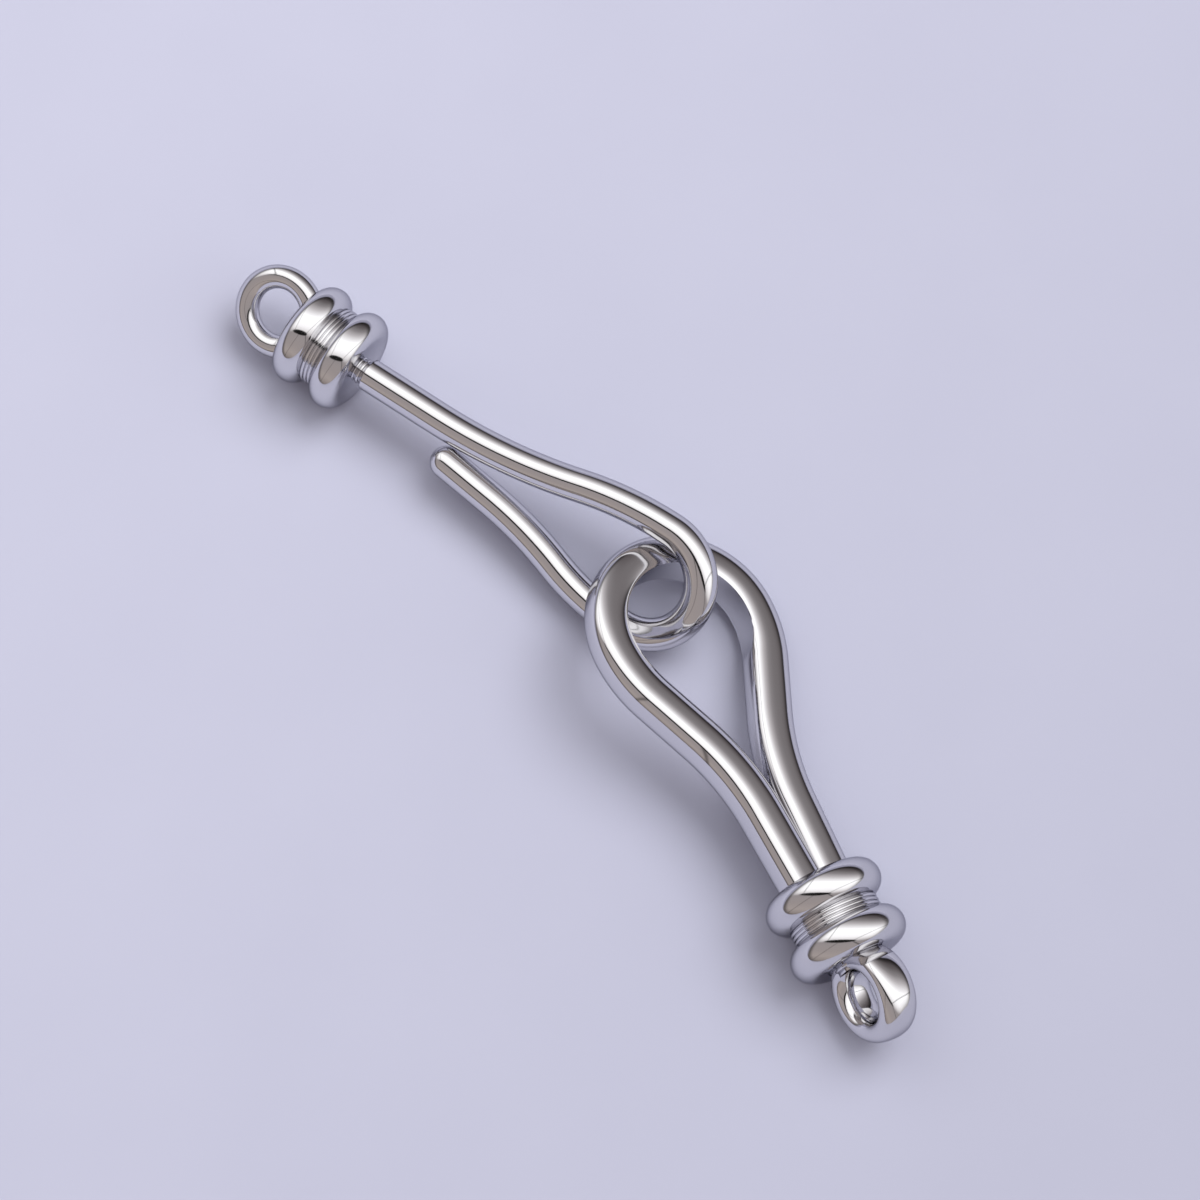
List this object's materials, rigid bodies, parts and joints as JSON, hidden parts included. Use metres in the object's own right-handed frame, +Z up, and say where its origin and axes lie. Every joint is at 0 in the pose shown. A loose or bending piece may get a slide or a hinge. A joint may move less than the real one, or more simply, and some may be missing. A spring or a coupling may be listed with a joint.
{
  "type": "hook and eye clasp",
  "caption": "Jewellery clasp whose round-wire hook on a disc collar is fastened through a drop-shaped eye loop on a matching collar, with an end ring on each half.",
  "frame": {"origin": "centre of the fastened clasp's box, at the surface that it lies on", "axes": "+X runs from the hook half's end ring towards the eye half's end ring, +Z is up from the surface"},
  "size_m": [0.0463, 0.011, 0.0056],
  "materials": {
    "plated_metal": "polished"
  },
  "bodies": {
    "hook_half": {"hook_half": "plated_metal"},
    "eye_half": {"eye_half": "plated_metal"}
  },
  "joints": [
    {"name": "link_swing", "type": "hinge", "parent": "hook_half", "child": "eye_half", "pos_m": [-0.00019, 0.00126, 0.0028], "axis": [0, 0, 1], "range_deg": [-12, 55]}
  ]
}
